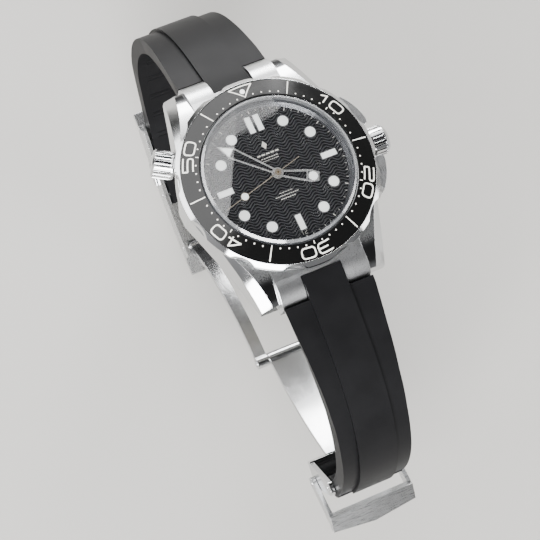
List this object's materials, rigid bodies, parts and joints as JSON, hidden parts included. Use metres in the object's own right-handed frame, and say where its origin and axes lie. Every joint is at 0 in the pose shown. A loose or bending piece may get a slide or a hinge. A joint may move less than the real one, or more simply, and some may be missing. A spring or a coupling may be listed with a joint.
{
  "type": "dive watch",
  "caption": "Automatic dive watch on a rubber strap: turning bezel, crown, gas valve, geared movement, open fold-over clasp with safety frame.",
  "frame": {"origin": "centre of the case back's resting face", "axes": "+Z is the dial normal towards the crystal, +Y points to 12 o'clock, +X to 3 o'clock and the crown"},
  "size_m": [0.0488, 0.116, 0.0742],
  "materials": {
    "brass_gilt": "gilt brass",
    "brushed_steel": "satin-brushed stainless steel",
    "date_black": "satin black disc with white numbers",
    "dial_black": "gloss black with fine horizontal waves and white printing",
    "gasket_rubber": "black sealing rubber",
    "insert_black": "gloss black insert with white engraved scale",
    "lume": "off-white luminous compound",
    "polished_steel": "mirror-polished stainless steel",
    "rhodium": "rhodium-plated, striped or spotted",
    "ring_plastic": "grey plastic",
    "rubber": "satin black rubber, moulded ridge and cross grooves",
    "ruby": "synthetic ruby",
    "sapphire": "clear domed crystal",
    "spring_steel": "blued or grey spring steel"
  },
  "bodies": {
    "case": {"case_middle": "brushed_steel", "case_back": "brushed_steel", "case_back_crystal": "sapphire", "gaskets": "gasket_rubber", "crystal": "sapphire", "rehaut_ring": "polished_steel", "dial": "dial_black", "hour_markers": "polished_steel", "marker_lume": "lume", "movement_ring": "ring_plastic", "mainplate": "rhodium", "barrel_bridge": "rhodium", "train_bridge": "rhodium", "balance_cock": "rhodium", "pallet_cock": "rhodium", "jewels": "ruby", "bridge_screws": "polished_steel", "barrel_arbor": "spring_steel", "mainspring": "spring_steel", "hairspring": "spring_steel", "crown_tube": "polished_steel", "valve_tube": "polished_steel", "valve_spring": "spring_steel", "bezel_click_spring": "spring_steel", "end_links": "brushed_steel", "spring_bars": "polished_steel", "strap_12": "rubber", "strap_6": "rubber", "clasp_cover": "brushed_steel", "clasp_pins": "polished_steel", "rotor_bearing": "polished_steel"},
    "bezel": {"bezel_ring": "polished_steel", "bezel_insert": "insert_black", "bezel_pearl": "lume"},
    "keyless": {"stem_pinions": "spring_steel"},
    "crown": {"crown": "polished_steel", "winding_stem": "spring_steel"},
    "valve_piston": {"valve_piston": "polished_steel"},
    "valve_knob": {"valve_knob": "polished_steel"},
    "fourth": {"fourth_wheel": "brass_gilt", "seconds_hand": "polished_steel"},
    "third": {"third_wheel": "brass_gilt"},
    "centre": {"centre_wheel": "brass_gilt", "minute_hand": "polished_steel"},
    "escape": {"escape_wheel": "spring_steel"},
    "barrel": {"barrel": "brass_gilt"},
    "minute_wheel": {"minute_wheel": "brass_gilt"},
    "hour": {"hour_wheel": "brass_gilt", "hour_hand": "polished_steel"},
    "pallet": {"pallet_lever": "spring_steel"},
    "balance": {"balance_wheel": "brass_gilt"},
    "date": {"date_disc": "date_black"},
    "rotor": {"rotor": "rhodium"},
    "clasp_blade": {"clasp_blade_middle": "polished_steel"},
    "clasp_tongue": {"clasp_blade_inner": "polished_steel", "clasp_yoke": "polished_steel", "yoke_pins": "polished_steel"},
    "safety_frame": {"safety_frame": "brushed_steel"},
    "pusher_3": {"clasp_pusher_3_side": "polished_steel"},
    "pusher_9": {"clasp_pusher_9_side": "polished_steel"}
  },
  "joints": [
    {"name": "bezel_turn", "type": "hinge", "parent": "case", "child": "bezel", "pos_m": [0, 0, 0.0095], "axis": [0, 0, 1], "continuous": true},
    {"name": "crown_turn", "type": "hinge", "parent": "case", "child": "keyless", "pos_m": [0.0097, 0, 0.0052], "axis": [1, 0, 0], "continuous": true},
    {"name": "crown_pull", "type": "slide", "parent": "keyless", "child": "crown", "axis": [1, 0, 0], "range_m": [0, 0.0035]},
    {"name": "valve_lift", "type": "slide", "parent": "case", "child": "valve_piston", "axis": [-0.866, 0.5, 0], "range_m": [0, 0.0009]},
    {"name": "valve_turn", "type": "hinge", "parent": "valve_piston", "child": "valve_knob", "pos_m": [-0.02035, 0.01175, 0.0052], "axis": [-0.866, 0.5, 0], "range_deg": [0, 900]},
    {"name": "seconds_train", "type": "hinge", "parent": "case", "child": "fourth", "pos_m": [0, 0, 0.0042], "axis": [0, 0, -1], "continuous": true},
    {"name": "third_arbor", "type": "hinge", "parent": "case", "child": "third", "pos_m": [-0.00442, -0.0031, 0.005], "axis": [0, 0, -1], "continuous": true},
    {"name": "centre_arbor", "type": "hinge", "parent": "case", "child": "centre", "pos_m": [0, 0, 0.0055], "axis": [0, 0, -1], "continuous": true},
    {"name": "escape_arbor", "type": "hinge", "parent": "case", "child": "escape", "pos_m": [0.00137, -0.0051, 0.005], "axis": [0, 0, -1], "continuous": true},
    {"name": "barrel_turn", "type": "hinge", "parent": "case", "child": "barrel", "pos_m": [-0.00125, 0.00709, 0.006], "axis": [0, 0, -1], "continuous": true},
    {"name": "minute_wheel_turn", "type": "hinge", "parent": "case", "child": "minute_wheel", "pos_m": [0.0026, -0.0015, 0.0078], "axis": [0, 0, -1], "continuous": true},
    {"name": "hour_arbor", "type": "hinge", "parent": "case", "child": "hour", "pos_m": [0, 0, 0.0085], "axis": [0, 0, -1], "continuous": true},
    {"name": "pallet_rock", "type": "hinge", "parent": "case", "child": "pallet", "pos_m": [0.00326, -0.00688, 0.0055], "axis": [0, 0, -1], "range_deg": [-5, 5]},
    {"name": "balance_swing", "type": "hinge", "parent": "case", "child": "balance", "pos_m": [0.0048, -0.00831, 0.005], "axis": [0, 0, -1], "range_deg": [-150, 150], "stiffness_Nm_per_rad": 0.0000003},
    {"name": "date_turn", "type": "hinge", "parent": "case", "child": "date", "pos_m": [0, 0, 0.0083], "axis": [0, 0, -1], "continuous": true},
    {"name": "rotor_swing", "type": "hinge", "parent": "case", "child": "rotor", "pos_m": [0, 0, 0.0023], "axis": [0, 0, 1], "continuous": true},
    {"name": "clasp_fold", "type": "hinge", "parent": "case", "child": "clasp_blade", "pos_m": [0, 0.01043, -0.05673], "axis": [-1, 0, 0], "range_deg": [0, 118]},
    {"name": "clasp_tongue_fold", "type": "hinge", "parent": "case", "child": "clasp_tongue", "pos_m": [0, -0.0578, -0.0288], "axis": [1, 0, 0], "range_deg": [-60, 45]},
    {"name": "safety_frame_flip", "type": "hinge", "parent": "clasp_tongue", "child": "safety_frame", "pos_m": [0, -0.0542, -0.0363], "axis": [1, 0, 0], "range_deg": [-15, 110]},
    {"name": "pusher_3_press", "type": "slide", "parent": "case", "child": "pusher_3", "axis": [-1, 0, 0], "range_m": [0, 0.0005], "stiffness_N_per_m": 1500, "springref_m": -0.0003},
    {"name": "pusher_9_press", "type": "slide", "parent": "case", "child": "pusher_9", "axis": [1, 0, 0], "range_m": [0, 0.0005], "stiffness_N_per_m": 1500, "springref_m": -0.0003}
  ],
  "couplings": [
    {"joint": "third_arbor", "follows": "seconds_train", "ratio": -0.13333},
    {"joint": "centre_arbor", "follows": "seconds_train", "ratio": 0.016667},
    {"joint": "escape_arbor", "follows": "seconds_train", "ratio": -12},
    {"joint": "barrel_turn", "follows": "seconds_train", "ratio": -0.002381},
    {"joint": "minute_wheel_turn", "follows": "seconds_train", "ratio": -0.0055556},
    {"joint": "hour_arbor", "follows": "seconds_train", "ratio": 0.0013889},
    {"joint": "valve_turn", "follows": "valve_lift", "rad_per_m": 17453}
  ]
}
